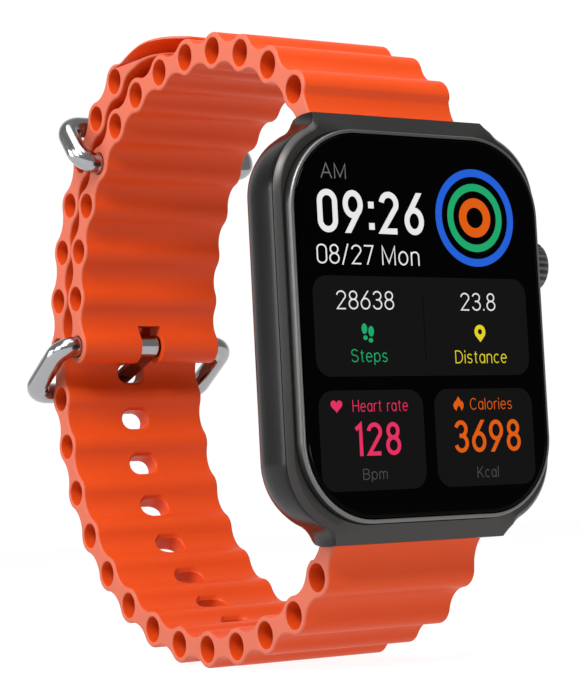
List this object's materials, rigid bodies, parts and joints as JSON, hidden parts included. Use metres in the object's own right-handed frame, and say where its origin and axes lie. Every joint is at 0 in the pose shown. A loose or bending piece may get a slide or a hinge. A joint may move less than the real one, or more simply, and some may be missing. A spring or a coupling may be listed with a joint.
{
  "type": "gps running watch",
  "caption": "Rectangular sports smartwatch with rounded display, side crown and ribbed silicone strap closed by a rod buckle and keeper loop.",
  "frame": {"origin": "centre of the front face of the display glass", "axes": "+X towards the crown, +Y from the display into the watch and towards the wrist, +Z towards twelve o'clock"},
  "size_m": [0.0413, 0.0775, 0.083],
  "materials": {
    "silicone": "matte moulded silicone",
    "case_black": "gloss black coated alloy",
    "bezel_black": "gloss",
    "cover_glass": "polished, black behind",
    "display": "gloss",
    "adhesive": "black foam tape",
    "polished_steel": "polished",
    "bar_steel": "satin",
    "crown_metal": "satin black, ribbed",
    "cover_plastic": "fine texture",
    "sensor_glass": "polished dark dome",
    "seal_rubber": "matte",
    "circuit_board": "solder mask",
    "flex_film": "polyimide film",
    "chip_plastic": "matt black",
    "shield_tin": "tin plate",
    "antenna_ceramic": "glazed ceramic",
    "battery_foil": "foil",
    "frame_plastic": "moulded",
    "bush_brass": "machined",
    "contact_gold": "gold plated",
    "magnet_nickel": "nickel plated"
  },
  "bodies": {
    "root": {"strap_short": "silicone", "strap_long": "silicone", "case_frame": "case_black", "bezel_ring": "bezel_black", "cover_glass": "cover_glass", "display_panel": "display", "glass_adhesive": "adhesive", "lug_bar_top": "bar_steel", "lug_bar_bottom": "bar_steel", "lug_bar_spring_top": "bar_steel", "lug_bar_spring_bottom": "bar_steel", "back_screws": "bar_steel", "back_cover": "cover_plastic", "sensor_window": "sensor_glass", "back_gasket": "seal_rubber", "crown_seal": "seal_rubber", "main_board": "circuit_board", "sensor_board": "circuit_board", "display_cable": "flex_film", "board_chips": "chip_plastic", "sensor_optics": "chip_plastic", "crown_switch": "chip_plastic", "shield_can": "shield_tin", "motor_can": "shield_tin", "gps_antenna": "antenna_ceramic", "battery": "battery_foil", "inner_frame": "frame_plastic", "crown_bush": "bush_brass", "charging_contacts": "contact_gold", "charging_magnets": "magnet_nickel"},
    "crown_slider": {"crown_press_plate": "frame_plastic"},
    "crown": {"crown_knob": "crown_metal", "crown_stem": "bar_steel", "crown_magnet": "magnet_nickel"},
    "buckle": {"buckle_frame": "polished_steel", "buckle_axle": "polished_steel"},
    "tongue": {"buckle_tongue": "polished_steel"},
    "keeper": {"keeper_loop": "polished_steel", "keeper_axle": "polished_steel"},
    "release_top": {"lug_bar_pin_top": "bar_steel"},
    "release_bottom": {"lug_bar_pin_bottom": "bar_steel"},
    "motor_rotor": {"motor_weight": "shield_tin"}
  },
  "joints": [
    {"name": "crown_press", "type": "slide", "parent": "root", "child": "crown_slider", "axis": [-1, 0, 0], "range_m": [0, 0.0004], "stiffness_N_per_m": 5000},
    {"name": "crown_turn", "type": "hinge", "parent": "crown_slider", "child": "crown", "pos_m": [0.02, 0.0056, 0.008], "axis": [1, 0, 0], "continuous": true},
    {"name": "buckle_swing", "type": "hinge", "parent": "root", "child": "buckle", "pos_m": [0, 0.06642, 0.00354], "axis": [1, 0, 0], "range_deg": [0, 1.5]},
    {"name": "tongue_swing", "type": "hinge", "parent": "buckle", "child": "tongue", "pos_m": [0, 0.06642, 0.00354], "axis": [1, 0, 0], "range_deg": [0, 1]},
    {"name": "keeper_swing", "type": "hinge", "parent": "root", "child": "keeper", "pos_m": [0, 0.05796, 0.02816], "axis": [1, 0, 0], "range_deg": [-8, 4]},
    {"name": "release_top_slide", "type": "slide", "parent": "root", "child": "release_top", "axis": [-1, 0, 0], "range_m": [0, 0.0011], "stiffness_N_per_m": 1500, "deforming": ["lug_bar_spring_top"]},
    {"name": "release_bottom_slide", "type": "slide", "parent": "root", "child": "release_bottom", "axis": [-1, 0, 0], "range_m": [0, 0.0011], "stiffness_N_per_m": 1500, "deforming": ["lug_bar_spring_bottom"]},
    {"name": "motor_spin", "type": "hinge", "parent": "root", "child": "motor_rotor", "pos_m": [-0.015, 0.00605, 0.002], "axis": [0, 0, 1], "continuous": true}
  ]
}
